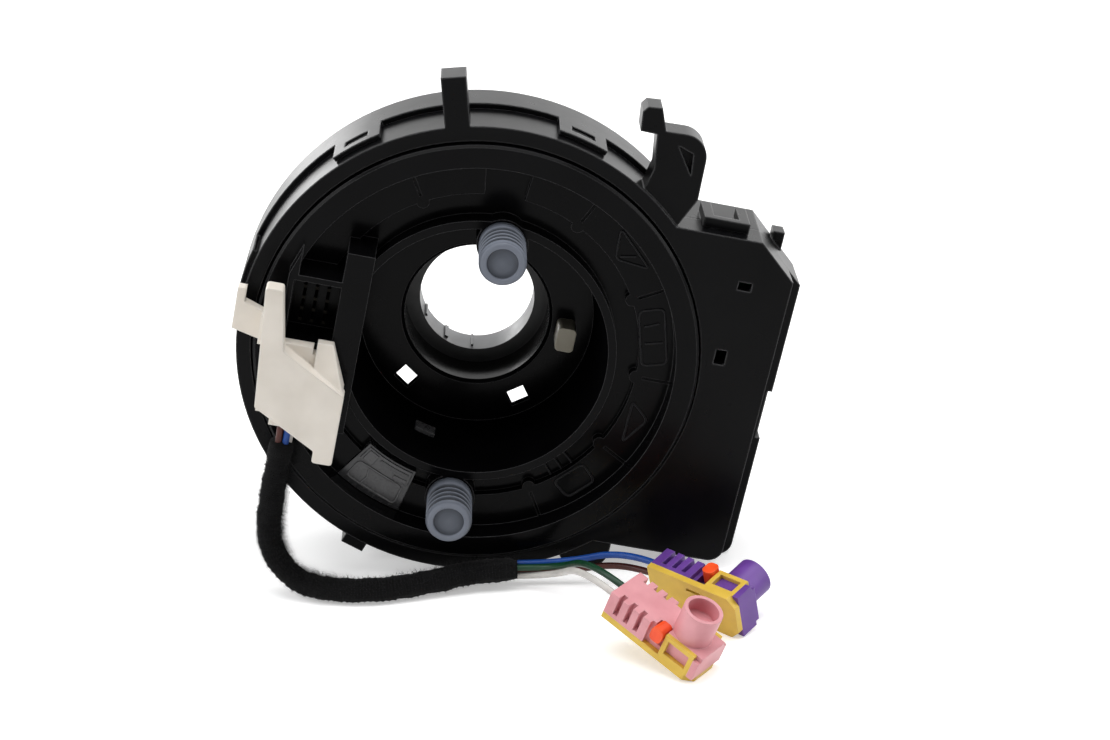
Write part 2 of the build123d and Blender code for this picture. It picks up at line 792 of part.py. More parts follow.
def cord(points, diameter, label):
    radii = []
    for before, here, after in zip(points, points[1:], points[2:]):
        into = Vector(here) - Vector(before)
        onto = Vector(after) - Vector(here)
        half_turn = math.radians(into.get_angle(onto)) / 2
        radii.append(0.45 * min(into.length, onto.length) / math.tan(half_turn))
    path = FilletPolyline(*points, radius=radii)
    tube = sweep(Plane(path @ 0, z_dir=path % 0) * Circle(diameter / 2), path=path)
    expected = math.pi * diameter ** 2 / 4 * path.length
    print(label, "length", round(path.length, 1), "volume ratio", round(tube.volume / expected, 4),
          "radii", [round(radius, 1) for radius in radii])
    return tube


def harness_tape():
    spout = stand * Pos(spout_x, spout_low_y, level(-spout_level))
    lead = stand * Pos(spout_x, spout_low_y - tape_lead, level(-spout_level))
    return cord([tuple(spout.position), tuple(lead.position)] + tape_route, tape_diameter, "harness_tape")


def wire(name):
    across, up, first_run, connector, entry_y, entry_z = wire_routes[name]
    end_x, end_y, end_z = tape_route[-1]
    start = (end_x, end_y + across, end_z + up)
    leave = (end_x + first_run, end_y + across, end_z + up)
    place = squib_place(connector)
    lead = tuple((place * Pos(-wire_lead, entry_y, entry_z)).position)
    entry = tuple((place * Pos(0, entry_y, entry_z)).position)
    return cord([start, leave, lead, entry], wire_diameter, name)


def pieces():
    turned = {
        "front_housing": front_housing(),
        "rear_housing": rear_housing(),
        "circuit_board": circuit_board(),
        "header_shroud": header_shroud(),
        "header_pins": Compound(children=header_pins()),
        "flat_cable": flat_cable(),
        "rotor_disc": rotor_disc(),
        "rear_hub": rear_hub(),
        "upper_plug": corrugated_plug(upper_plug_y),
        "lower_plug": corrugated_plug(lower_plug_y),
        "centre_window": centre_window(),
        "index_tab": index_tab(),
        "socket_pins": Compound(children=socket_pins()),
        "white_connector": white_connector(),
    }
    made = {name: stand * solid for name, solid in turned.items()}
    made["harness_tape"] = harness_tape()
    for name in wire_routes:
        made[name] = wire(name)
    for name in squib_places:
        place = squib_place(name)
        made[name + "_body"] = place * squib_body()
        made[name + "_cover"] = place * squib_cover()
        made[name + "_lock"] = place * squib_lock()
    return made


os.makedirs("parts", exist_ok=True)
print("roll", round(roll, 3), "floor", round(floor_z, 3))
for name, solid in pieces().items():
    export_step(solid, "parts/" + name + ".step")
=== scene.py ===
import math
import random

import bpy
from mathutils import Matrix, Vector, noise


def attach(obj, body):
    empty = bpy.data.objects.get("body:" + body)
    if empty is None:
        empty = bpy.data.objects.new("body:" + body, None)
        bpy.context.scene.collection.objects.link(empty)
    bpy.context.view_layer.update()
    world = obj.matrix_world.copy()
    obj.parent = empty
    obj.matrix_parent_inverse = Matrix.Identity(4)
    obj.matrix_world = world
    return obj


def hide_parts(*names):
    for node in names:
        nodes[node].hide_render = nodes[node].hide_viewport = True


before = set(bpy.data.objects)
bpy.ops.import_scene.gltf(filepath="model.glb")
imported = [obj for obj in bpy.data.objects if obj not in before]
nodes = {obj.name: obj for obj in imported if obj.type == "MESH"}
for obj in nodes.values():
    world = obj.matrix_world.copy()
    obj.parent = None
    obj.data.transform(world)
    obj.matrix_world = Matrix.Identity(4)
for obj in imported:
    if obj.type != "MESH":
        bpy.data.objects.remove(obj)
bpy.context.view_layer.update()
scene = bpy.context.scene
scene.view_settings.view_transform = "Standard"
mm = 0.001
print("frame loaded:", len(nodes), "CAD nodes")

# the floor that the ring and the box stand on
stageLook = {"floor": -0.0628, "clear": 0.0001, "span": 8.0, "lift": 0.4, "grainScale": 40.0,
             "deep": (0.90, 0.90, 0.90), "pale": (0.92, 0.92, 0.92), "stops": (0.2, 0.8),
             "rough": 0.9, "shine": 0.1}

# camera, fitted to the photo
shot = {"place": (0.00583, -0.59152, 0.22788), "turn": (66.739, 0.0, -1.52), "lens": 74.05, "sensor": 36.0,
        "clip": (0.01, 30.0)}

cameraData = bpy.data.cameras.new("photoCamera")
cameraData.lens = shot["lens"]
cameraData.sensor_width = shot["sensor"]
cameraData.clip_start, cameraData.clip_end = shot["clip"]
camera = bpy.data.objects.new("photoCamera", cameraData)
camera.location = shot["place"]
camera.rotation_euler = [math.radians(a) for a in shot["turn"]]
scene.collection.objects.link(camera)
scene.camera = camera
print("camera set")

# the part of a value's range that counts: of a noise, of a mask, and of a normal's turn or tilt
spans = {"noise": (0.3, 0.7), "whole": (0.0, 1.0), "edgeTurn": (0.80, 0.985), "endTilt": (0.3, 0.6)}
colourSockets = {"first": 6, "second": 7, "result": 2}  # by index: number and colour sockets share names


# node helpers
def newMaterial(name):
    mat = bpy.data.materials.new(name)
    mat.use_nodes = True
    tree = mat.node_tree
    return mat, tree, tree.nodes["Principled BSDF"]


def addNode(tree, kind, **values):
    node = tree.nodes.new(kind)
    for key, value in values.items():
        setattr(node, key, value)
    return node


def noiseAt(tree, where, scale, detail=4.0, rough=0.5):
    node = addNode(tree, "ShaderNodeTexNoise")
    node.inputs["Scale"].default_value = scale
    node.inputs["Detail"].default_value = detail
    node.inputs["Roughness"].default_value = rough
    tree.links.new(where, node.inputs["Vector"])
    return node.outputs["Fac"]


def spread(tree, value, low, high, span=spans["noise"]):
    node = addNode(tree, "ShaderNodeMapRange")
    for key, number in zip(("From Min", "From Max", "To Min", "To Max"), (*span, low, high)):
        node.inputs[key].default_value = number
    tree.links.new(value, node.inputs["Value"])
    return node.outputs["Result"]


def tint(tree, value, deep, pale, stops=spans["noise"]):
    node = addNode(tree, "ShaderNodeValToRGB")
    for element, place, colour in zip(node.color_ramp.elements, stops, (deep, pale)):
        element.position, element.color = place, (*colour, 1)
    tree.links.new(value, node.inputs["Fac"])
    return node.outputs["Color"]


def roundedNormal(tree, edge):
    node = addNode(tree, "ShaderNodeBevel", samples=4)
    node.inputs["Radius"].default_value = edge
    return node.outputs["Normal"]


def bumped(tree, height, strength, distance, normal=None):
    node = addNode(tree, "ShaderNodeBump")
    node.inputs["Strength"].default_value = strength
    node.inputs["Distance"].default_value = distance
    tree.links.new(height, node.inputs["Height"])
    if normal is not None:
        tree.links.new(normal, node.inputs["Normal"])
    return node.outputs["Normal"]


def objectPlace(tree):
    return addNode(tree, "ShaderNodeTexCoord").outputs["Object"]


def edgeMask(tree, rounded):
    face = addNode(tree, "ShaderNodeNewGeometry").outputs["Normal"]
    turn = addNode(tree, "ShaderNodeVectorMath", operation="DOT_PRODUCT")
    tree.links.new(rounded, turn.inputs[0])
    tree.links.new(face, turn.inputs[1])
    return spread(tree, turn.outputs["Value"], 1.0, 0.0, spans["edgeTurn"])


def endMask(tree):
    # faces square to the column axis
    parts = addNode(tree, "ShaderNodeSeparateXYZ")
    tree.links.new(addNode(tree, "ShaderNodeNewGeometry").outputs["Normal"], parts.inputs["Vector"])
    size = addNode(tree, "ShaderNodeMath", operation="ABSOLUTE")
    tree.links.new(parts.outputs["Y"], size.inputs[0])
    return spread(tree, size.outputs["Value"], 0.0, 1.0, spans["endTilt"])


def wallMask(tree, where, inner, outer):
    # walls about the column axis, between two radii
    flat = addNode(tree, "ShaderNodeVectorMath", operation="MULTIPLY")
    flat.inputs[1].default_value = (1.0, 0.0, 1.0)
    tree.links.new(where, flat.inputs[0])
    radius = addNode(tree, "ShaderNodeVectorMath", operation="LENGTH")
    tree.links.new(flat.outputs["Vector"], radius.inputs[0])
    inside = addNode(tree, "ShaderNodeMath", operation="COMPARE")
    tree.links.new(radius.outputs["Value"], inside.inputs[0])
    inside.inputs[1].default_value = (inner + outer) / 2
    inside.inputs[2].default_value = (outer - inner) / 2
    wall = addNode(tree, "ShaderNodeMath", operation="SUBTRACT", use_clamp=True)
    tree.links.new(inside.outputs["Value"], wall.inputs[0])
    tree.links.new(endMask(tree), wall.inputs[1])
    return wall.outputs["Value"]


def belowCoverMask(tree, where, look):
    # the white body painted near black below a plane and behind a depth: the lead's exit below the white
    # body, behind its cover
    up = addNode(tree, "ShaderNodeVectorMath", operation="DOT_PRODUCT")
    tree.links.new(where, up.inputs[0])
    up.inputs[1].default_value = look["up"]
    low = addNode(tree, "ShaderNodeMath", operation="LESS_THAN")
    tree.links.new(up.outputs["Value"], low.inputs[0])
    low.inputs[1].default_value = look["top"]
    parts = addNode(tree, "ShaderNodeSeparateXYZ")
    tree.links.new(where, parts.inputs["Vector"])
    behind = addNode(tree, "ShaderNodeMath", operation="GREATER_THAN")
    tree.links.new(parts.outputs["Y"], behind.inputs[0])
    behind.inputs[1].default_value = look["front"]
    both = addNode(tree, "ShaderNodeMath", operation="MULTIPLY")
    tree.links.new(low.outputs["Value"], both.inputs[0])
    tree.links.new(behind.outputs["Value"], both.inputs[1])
    return both.outputs["Value"]


def mixColour(tree, share, first, second):
    node = addNode(tree, "ShaderNodeMix", data_type="RGBA")
    tree.links.new(share, node.inputs["Factor"])
    tree.links.new(first, node.inputs[colourSockets["first"]])
    node.inputs[colourSockets["second"]].default_value = (*second, 1)
    return node.outputs[colourSockets["result"]]


def seenRays(tree):
    # camera, glossy and transmission rays all meet the white background
    rays = addNode(tree, "ShaderNodeLightPath")
    found = rays.outputs["Is Camera Ray"]
    for kind in ("Is Glossy Ray", "Is Transmission Ray"):
        either = addNode(tree, "ShaderNodeMath", operation="MAXIMUM")
        tree.links.new(found, either.inputs[0])
        tree.links.new(rays.outputs[kind], either.inputs[1])
        found = either.outputs["Value"]
    return found


# injection moulded plastic: faint flow shade, fine spark grain, rounded edges, and a painted highlight: a
# paler colour along every edge
mouldLook = {"flowDetail": 3.0, "patchScale": 4, "patchDetail": 5.0, "patchRough": 0.6, "grainDetail": 2.0,
             "grainHeight": 0.00005, "glowReach": (0.002, 0.0018, 0.0015)}


def mouldedPlastic(name, look):
    mat, tree, shader = newMaterial(name)
    where = objectPlace(tree)
    rounded = roundedNormal(tree, look["edge"])
    flow = noiseAt(tree, where, look["flowScale"], mouldLook["flowDetail"])
    colour = tint(tree, flow, look["deep"], look["pale"])
    # a painted highlight: edges take a paler colour, standing in for light caught on the rounded edges
    colour = mixColour(tree, edgeMask(tree, rounded), colour, look["paintedEdgeHighlight"])
    # faces square to the column axis take another colour: on the hub, near black beside the walls' painted
    # grey reflection
    if "ends" in look:
        colour = mixColour(tree, endMask(tree), colour, look["ends"])
    if "belowCover" in look:
        colour = mixColour(tree, belowCoverMask(tree, where, look["belowCover"]), colour, look["belowCoverBlack"])
    tree.links.new(colour, shader.inputs["Base Color"])
    patches = noiseAt(tree, where, look["flowScale"] * mouldLook["patchScale"], mouldLook["patchDetail"],
                      mouldLook["patchRough"])
    gloss = spread(tree, patches, *look["gloss"])
    grain = noiseAt(tree, where, look["grainScale"], mouldLook["grainDetail"])
    relief = bumped(tree, grain, look["grain"], mouldLook["grainHeight"], rounded)
    tree.links.new(relief, shader.inputs["Normal"])
    shader.inputs["Specular IOR Level"].default_value = look["shine"]
    if "matte" in look:
        mask = wallMask(tree, where, *look["matte"]["between"])
        tree.links.new(spread(tree, mask, look["shine"], look["matte"]["shine"], spans["whole"]),
                       shader.inputs["Specular IOR Level"])
        rough = addNode(tree, "ShaderNodeMapRange")
        rough.inputs["To Max"].default_value = look["matte"]["gloss"]
        tree.links.new(mask, rough.inputs["Value"])
        tree.links.new(gloss, rough.inputs["To Min"])
        gloss = rough.outputs["Result"]
    tree.links.new(gloss, shader.inputs["Roughness"])
    if "glow" in look:
        shader.inputs["Subsurface Weight"].default_value = look["glow"]
        shader.inputs["Subsurface Radius"].default_value = mouldLook["glowReach"]
        shader.inputs["Subsurface Scale"].default_value = 1.0
    return mat


# the paler edge colour in each look is a painted highlight along the edges
rotorBlack = {"deep": (0.0012, 0.0012, 0.0014), "pale": (0.0024, 0.0024, 0.0028), "paintedEdgeHighlight": (0.08, 0.08, 0.083),
              "flowScale": 60.0, "gloss": (0.17, 0.21), "grainScale": 2600.0, "grain": 0.05, "edge": 0.00035,
              "shine": 0.06, "matte": {"between": (0.022, 0.0345), "shine": 0.0, "gloss": 0.7}}
# the tray's moulded lines take the rotor's black painted paler, a painted highlight so that they show against
# the tray
ridgeLitBlack = {"deep": (0.010, 0.010, 0.011), "pale": (0.017, 0.017, 0.018), "paintedEdgeHighlight": (0.06, 0.06, 0.062),
              "flowScale": 60.0, "gloss": (0.25, 0.32), "grainScale": 2600.0, "grain": 0.05, "edge": 0.0002,
              "shine": 0.06}
shellBlack = {"deep": (0.0012, 0.0012, 0.0014), "pale": (0.0028, 0.0028, 0.0032), "paintedEdgeHighlight": (0.10, 0.10, 0.103),
              "flowScale": 45.0, "gloss": (0.27, 0.3), "grainScale": 2200.0, "grain": 0.05, "edge": 0.0007,
              "shine": 0.07}
# the hub's walls are painted grey as a painted reflection of the bright backdrop at a grazing angle; its
# faces square to the column axis are painted near black
hubSheenGrey = {"deep": (0.13, 0.132, 0.138), "pale": (0.18, 0.182, 0.19), "paintedEdgeHighlight": (0.2, 0.2, 0.205),
           "flowScale": 80.0, "gloss": (0.3, 0.42), "grainScale": 2200.0, "grain": 0.12, "edge": 0.0003,
           "shine": 0.3, "ends": (0.002, 0.002, 0.0023)}
# the tab's cream colour is darkened with painted shade, as the tab sits in shadow inside the rotor
shadedIvory = {"deep": (0.25, 0.23, 0.175), "pale": (0.33, 0.305, 0.24), "paintedEdgeHighlight": (0.45, 0.42, 0.35),
         "flowScale": 120.0, "gloss": (0.38, 0.5), "grainScale": 2400.0, "grain": 0.1, "edge": 0.0005,
         "shine": 0.4, "glow": 0.15}
# the white connector is painted near black below a plane and behind a depth, where the lead leaves under its
# cover
connectorWhite = {"deep": (0.67, 0.62, 0.55), "pale": (0.77, 0.72, 0.65), "paintedEdgeHighlight": (0.82, 0.78, 0.72),
                  "flowScale": 90.0, "gloss": (0.36, 0.48), "grainScale": 1500.0, "grain": 0.3,
                  "edge": 0.0008, "shine": 0.4, "glow": 0.12, "belowCoverBlack": (0.003, 0.003, 0.0034),
                  "belowCover": {"up": (0.2015, 0.0, 0.9795), "top": -0.0209, "front": -0.0624}}

# the airbag connectors share one skin, and their locks are a little smoother
connectorSkin = {"flowScale": 140.0, "gloss": (0.34, 0.46), "grainScale": 2600.0, "grain": 0.14,
                 "edge": 0.00035, "shine": 0.4}
purplePlastic = {**connectorSkin, "deep": (0.105, 0.035, 0.24), "pale": (0.145, 0.052, 0.31),
                 "paintedEdgeHighlight": (0.2, 0.09, 0.4)}
yellowPlastic = {**connectorSkin, "deep": (0.62, 0.40, 0.045), "pale": (0.74, 0.50, 0.07),
                 "paintedEdgeHighlight": (0.8, 0.58, 0.14)}
pinkPlastic = {**connectorSkin, "deep": (0.62, 0.255, 0.28), "pale": (0.72, 0.33, 0.36),
               "paintedEdgeHighlight": (0.8, 0.42, 0.45)}
orangePlastic = {**connectorSkin, "deep": (0.80, 0.06, 0.01), "pale": (0.95, 0.10, 0.02),
                 "paintedEdgeHighlight": (1.0, 0.18, 0.05), "flowScale": 200.0, "gloss": (0.3, 0.42), "grain": 0.1,
                 "edge": 0.0003}

# soft translucent rubber of the two plugs: painted shade makes the hollows between the ribs darker, and a
# painted highlight makes the crests paler
plugRubber = {"deep": (0.006, 0.008, 0.012), "pale": (0.17, 0.187, 0.225), "stops": (0.12, 1.0),
              "cloudScale": 160.0, "cloudDetail": 3.0, "cloud": 0.25, "glossScale": 500.0,
              "gloss": (0.3, 0.4), "skinScale": 1400.0, "skinDetail": 2.0, "skin": (0.12, 0.00006),
              "shine": 0.14, "milk": 0.02, "milkReach": (0.0008, 0.0009, 0.0011)}


def translucentRubber(name, look):
    mat, tree, shader = newMaterial(name)
    where = objectPlace(tree)
    # the painted shade of the ribs, kept on the mesh: dark in the hollows, light on the crests
    paintedShadeLevel = addNode(tree, "ShaderNodeAttribute", attribute_name="paintedRibShade").outputs["Fac"]
    cloud = addNode(tree, "ShaderNodeMath", operation="MULTIPLY_ADD")
    tree.links.new(noiseAt(tree, where, look["cloudScale"], look["cloudDetail"]), cloud.inputs[0])
    cloud.inputs[1].default_value = look["cloud"]
    tree.links.new(paintedShadeLevel, cloud.inputs[2])
    colour = tint(tree, cloud.outputs["Value"], look["deep"], look["pale"], look["stops"])
    tree.links.new(colour, shader.inputs["Base Color"])
    gloss = noiseAt(tree, where, look["glossScale"])
    tree.links.new(spread(tree, gloss, *look["gloss"]), shader.inputs["Roughness"])
    skin = noiseAt(tree, where, look["skinScale"], look["skinDetail"])
    tree.links.new(bumped(tree, skin, *look["skin"]), shader.inputs["Normal"])
    shader.inputs["Subsurface Weight"].default_value = look["milk"]
    shader.inputs["Subsurface Radius"].default_value = look["milkReach"]
    shader.inputs["Subsurface Scale"].default_value = 1.0
    shader.inputs["Specular IOR Level"].default_value = look["shine"]
    return mat


# smoked pane, with faint haze, and a painted highlight: a paler colour along its edges
paneSkin = {"hazeScale": 220.0, "glossScale": 900.0, "waveScale": 300.0, "waveDetail": 2.0,
            "wave": (0.05, 0.0001), "bend": 1.45}
paneLook = {**paneSkin, "deep": (0.026, 0.026, 0.028), "pale": (0.042, 0.042, 0.045),
            "paintedEdgeHighlight": (0.07, 0.07, 0.073), "edge": 0.0003, "gloss": (0.2, 0.3)}
paneFieldLook = {**paneSkin, "deep": (0.050, 0.050, 0.052), "pale": (0.070, 0.070, 0.073),
                 "paintedEdgeHighlight": (0.12, 0.12, 0.125), "edge": 0.0003, "gloss": (0.24, 0.34)}
# the raised lines on the pane are painted much paler than the pane, a painted highlight along their ridges
paneLitLineLook = {**paneSkin, "deep": (0.13, 0.13, 0.135), "pale": (0.18, 0.18, 0.185),
                "paintedEdgeHighlight": (0.25, 0.25, 0.255), "edge": 0.0001, "gloss": (0.2, 0.3)}


def smokedPane(name, look):
    mat, tree, shader = newMaterial(name)
    where = objectPlace(tree)
    rounded = roundedNormal(tree, look["edge"])
    haze = tint(tree, noiseAt(tree, where, look["hazeScale"]), look["deep"], look["pale"])
    # a painted highlight: edges take a paler colour
    tree.links.new(mixColour(tree, edgeMask(tree, rounded), haze, look["paintedEdgeHighlight"]), shader.inputs["Base Color"])
    gloss = noiseAt(tree, where, look["glossScale"])
    tree.links.new(spread(tree, gloss, *look["gloss"]), shader.inputs["Roughness"])
    wave = noiseAt(tree, where, look["waveScale"], look["waveDetail"])
    tree.links.new(bumped(tree, wave, *look["wave"], rounded), shader.inputs["Normal"])
    shader.inputs["IOR"].default_value = look["bend"]
    return mat


# drawn and plated metal of the contacts, painted near black as painted shade, since the pins sit deep in dark
# sockets
shadedContactLook = {"deep": (0.005, 0.0045, 0.004), "pale": (0.012, 0.011, 0.009), "gloss": (0.5, 0.62),
               "stretch": (1.0, 0.08, 1.0), "drawnScale": 2400.0, "drawnDetail": 3.0,
               "drawn": (0.1, 0.00003)}


def contactMetal(name, look):
    mat, tree, shader = newMaterial(name)
    where = objectPlace(tree)
    stretch = addNode(tree, "ShaderNodeMapping")
    stretch.inputs["Scale"].default_value = look["stretch"]
    tree.links.new(where, stretch.inputs["Vector"])
    drawn = noiseAt(tree, stretch.outputs["Vector"], look["drawnScale"], look["drawnDetail"])
    tree.links.new(tint(tree, drawn, look["deep"], look["pale"]), shader.inputs["Base Color"])
    tree.links.new(spread(tree, drawn, *look["gloss"]), shader.inputs["Roughness"])
    tree.links.new(bumped(tree, drawn, *look["drawn"]), shader.inputs["Normal"])
    shader.inputs["Metallic"].default_value = 1.0
    return mat


# polyester film with copper tracks under it
ribbonLook = {"film": (0.62, 0.46, 0.26), "track": (0.42, 0.22, 0.08), "stops": (0.42, 0.58),
              "bandScale": 70.0, "glossScale": 300.0, "gloss": (0.18, 0.3), "relief": (0.2, 0.00005)}


def ribbonFilm(name, look):
    mat, tree, shader = newMaterial(name)
    where = objectPlace(tree)
    wave = addNode(tree, "ShaderNodeTexWave", bands_direction="Y")
    wave.inputs["Scale"].default_value = look["bandScale"]
    wave.inputs["Distortion"].default_value = 0.0
    tree.links.new(where, wave.inputs["Vector"])
    tracks = tint(tree, wave.outputs["Fac"], look["film"], look["track"], look["stops"])
    tree.links.new(tracks, shader.inputs["Base Color"])
    gloss = noiseAt(tree, where, look["glossScale"])
    tree.links.new(spread(tree, gloss, *look["gloss"]), shader.inputs["Roughness"])
    tree.links.new(bumped(tree, wave.outputs["Fac"], *look["relief"]), shader.inputs["Normal"])
    return mat


# board: green mask over its traces
boardLook = {"mask": (0.008, 0.07, 0.03), "trace": (0.02, 0.13, 0.06), "stops": (0.05, 0.09),
             "cellScale": 260.0, "glossScale": 700.0, "gloss": (0.3, 0.42), "relief": (0.15, 0.00006)}


def boardMask(name, look):
    mat, tree, shader = newMaterial(name)
    where = objectPlace(tree)
    cells = addNode(tree, "ShaderNodeTexVoronoi", feature="DISTANCE_TO_EDGE", distance="MANHATTAN")
    cells.inputs["Scale"].default_value = look["cellScale"]
    tree.links.new(where, cells.inputs["Vector"])
    lines = tint(tree, cells.outputs["Distance"], look["trace"], look["mask"], look["stops"])
    tree.links.new(lines, shader.inputs["Base Color"])
    gloss = noiseAt(tree, where, look["glossScale"])
    tree.links.new(spread(tree, gloss, *look["gloss"]), shader.inputs["Roughness"])
    tree.links.new(bumped(tree, cells.outputs["Distance"], *look["relief"]), shader.inputs["Normal"])
    return mat


# extruded wire insulation, with faint die lines
jacketLook = {"shadeScale": 260.0, "glossScale": 800.0, "gloss": (0.3, 0.44), "dieScale": 1800.0,
              "dieDetail": 2.0, "die": (0.12, 0.00004), "shine": 0.3,
              "shades": {"wireBlue": ((0.004, 0.042, 0.22), (0.008, 0.062, 0.30)),
                         "wireBrown": ((0.045, 0.008, 0.005), (0.075, 0.014, 0.009)),
                         "wireGreen": ((0.002, 0.028, 0.011), (0.005, 0.045, 0.018)),
                         "wireWhite": ((0.46, 0.44, 0.42), (0.58, 0.56, 0.53))}}


def wireJacket(name, look, deep, pale):
    mat, tree, shader = newMaterial(name)
    where = objectPlace(tree)
    shade = noiseAt(tree, where, look["shadeScale"])
    tree.links.new(tint(tree, shade, deep, pale), shader.inputs["Base Color"])
    gloss = noiseAt(tree, where, look["glossScale"])
    tree.links.new(spread(tree, gloss, *look["gloss"]), shader.inputs["Roughness"])
    die = noiseAt(tree, where, look["dieScale"], look["dieDetail"])
    tree.links.new(bumped(tree, die, *look["die"]), shader.inputs["Normal"])
    shader.inputs["Specular IOR Level"].default_value = look["shine"]
    return mat


# black fleece tape: matted nap with a little sheen
fleeceLook = {"deep": (0.0022, 0.0022, 0.0024), "pale": (0.007, 0.007, 0.0076), "stops": (0.35, 0.7),
              "napScale": 1500.0, "napDetail": 6.0, "napRough": 0.7, "gloss": (0.85, 0.98),
              "relief": (0.7, 0.00025), "shine": 0.12, "sheen": 0.05}


def fleece(name, look):
    mat, tree, shader = newMaterial(name)
    where = objectPlace(tree)
    nap = noiseAt(tree, where, look["napScale"], look["napDetail"], look["napRough"])
    tree.links.new(tint(tree, nap, look["deep"], look["pale"], look["stops"]), shader.inputs["Base Color"])
    tree.links.new(spread(tree, nap, *look["gloss"]), shader.inputs["Roughness"])
    tree.links.new(bumped(tree, nap, *look["relief"]), shader.inputs["Normal"])
    shader.inputs["Specular IOR Level"].default_value = look["shine"]
    shader.inputs["Sheen Weight"].default_value = look["sheen"]
    return mat


finish = {
    "rotorBlack": mouldedPlastic("rotorBlack", rotorBlack),
    "ridgeLitBlack": mouldedPlastic("ridgeLitBlack", ridgeLitBlack),
    "shellBlack": mouldedPlastic("shellBlack", shellBlack),
    "hubSheenGrey": mouldedPlastic("hubSheenGrey", hubSheenGrey),
    "shadedIvory": mouldedPlastic("shadedIvory", shadedIvory),
    "connectorWhite": mouldedPlastic("connectorWhite", connectorWhite),
    "purple": mouldedPlastic("purplePlastic", purplePlastic),
    "yellow": mouldedPlastic("yellowPlastic", yellowPlastic),
    "pink": mouldedPlastic("pinkPlastic", pinkPlastic),
    "orange": mouldedPlastic("orangePlastic", orangePlastic),
    "plugRubber": translucentRubber("plugRubber", plugRubber),
    "pane": smokedPane("smokedPane", paneLook),
    "paneField": smokedPane("smokedField", paneFieldLook),
    "paneLitLine": smokedPane("smokedLitLine", paneLitLineLook),
    "contact": contactMetal("contactMetal", shadedContactLook),
    "ribbon": ribbonFilm("ribbonFilm", ribbonLook),
    "board": boardMask("boardMask", boardLook),
    "fleece": fleece("fleeceTape", fleeceLook),
}
for jacketName, jacketShades in jacketLook["shades"].items():
    finish[jacketName] = wireJacket(jacketName + "Jacket", jacketLook, *jacketShades)
print("finishes made:", len(finish))

# CAD nodes and their finishes
dress = {
    "front_housing": "shellBlack", "rear_housing": "shellBlack", "header_shroud": "shellBlack",
    "circuit_board": "board", "header_pins": "contact", "flat_cable": "ribbon",
    "rotor_disc": "rotorBlack", "rear_hub": "hubSheenGrey", "index_tab": "shadedIvory", "socket_pins": "contact",
    "white_connector": "connectorWhite",
    "purple_body": "purple", "purple_cover": "yellow", "purple_lock": "orange",
    "pink_body": "pink", "pink_cover": "yellow", "pink_lock": "orange",
}
for nodeName, look in dress.items():
    piece = nodes[nodeName]
    piece.data.materials.clear()
    piece.data.materials.append(finish[look])
print("CAD nodes dressed:", len(dress))

# places on the object: right and up from the column axis, and back from the front of the rotor's rim
standLook = {"roll": math.radians(-11.627), "rimFront": -54.0}


def at(x, y, depth):
    c, s = math.cos(standLook["roll"]), math.sin(standLook["roll"])
    return Vector((c * x - s * y, standLook["rimFront"] + depth, s * x + c * y)) * mm


def onPlane(radius, degrees):
    angle = math.radians(degrees)
    return radius * math.cos(angle), radius * math.sin(angle)


def onRing(radius, degrees, depth):
    return at(*onPlane(radius, degrees), depth)


def meshPiece(name, verts, faces, body, mat, slot, smooth=True):
    data = bpy.data.meshes.new(name)
    data.from_pydata([tuple(v) for v in verts], [], faces)
    data.update()
    for face in data.polygons:
        face.use_smooth = smooth
    data.materials.append(mat)
    obj = bpy.data.objects.new(name, data)
    scene.collection.objects.link(obj)
    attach(obj, body)
    return obj


def bandFaces(rings, count):
    # quads between rings of points, one ring after another
    faces = []
    for i in range(rings - 1):
        for k in range(count):
            a, b = i * count + k, i * count + (k + 1) % count
            faces.append((a, b, b + count, a + count))
    return faces


# corrugated plugs, turned about their own axis; a profile point is radius, height and painted shade
# a point in the dish is a share of its radius, the rise above its floor and the painted shade
plugLook = {"radius": 6.0, "ribDepth": 1.0, "ribs": 4, "pitch": 2.4, "foot": 3.4, "nose": 1.4, "tip": 5.6,
            "round": 0.6, "dish": 4.0, "dishDepth": 1.0, "dishRound": 0.35, "seat": 3.65, "x": 0.8,
            "hollowPower": 0.6, "crestPower": 2.6, "baseShade": 0.5, "footShade": 0.75, "tipShade": 0.62,
            "tipShadeRise": 0.28, "lipShade": 0.95,
            "dishLine": [(0.975, 0.2, 0.2), (0.9, 0.0, 0.3), (0.6, 0.1, 0.5), (0.0, 0.2, 0.65)],
            "axisRadius": 0.01, "around": 64, "steps": 20, "arcSteps": 4,
            "plugs": {"upper_plug": 30.5, "lower_plug": -42.0}}


def plugProfile(look):
    radius, foot, pitch, arcSteps = look["radius"], look["foot"], look["pitch"], look["arcSteps"]
    line = [(0.0, 0.0, look["baseShade"]), (radius, 0.0, look["baseShade"]),
            (radius, foot, look["footShade"])]
    for rib in range(look["ribs"]):
        for step in range(1, look["steps"] + 1):
            share = step / look["steps"]
            hollow = math.sin(math.pi * share) ** look["hollowPower"]
            line.append((radius - look["ribDepth"] * hollow, foot + (rib + share) * pitch,
                         (1.0 - hollow) ** look["crestPower"]))
    top = foot + look["ribs"] * pitch + look["nose"]
    turns = [math.pi / 2 * step / arcSteps for step in range(arcSteps + 1)]
    for step, turn in enumerate(turns):
        line.append((look["tip"] - look["round"] * (1 - math.cos(turn)),
                     top - look["round"] * (1 - math.sin(turn)),
                     look["tipShade"] + look["tipShadeRise"] * step / arcSteps))
    for turn in turns:
        line.append((look["dish"] + look["dishRound"] * (1 - math.sin(turn)),
                     top - look["dishRound"] * (1 - math.cos(turn)), look["lipShade"]))
    for share, rise, shade in look["dishLine"]:
        line.append((look["dish"] * share, top - look["dishDepth"] + rise, shade))
    return line


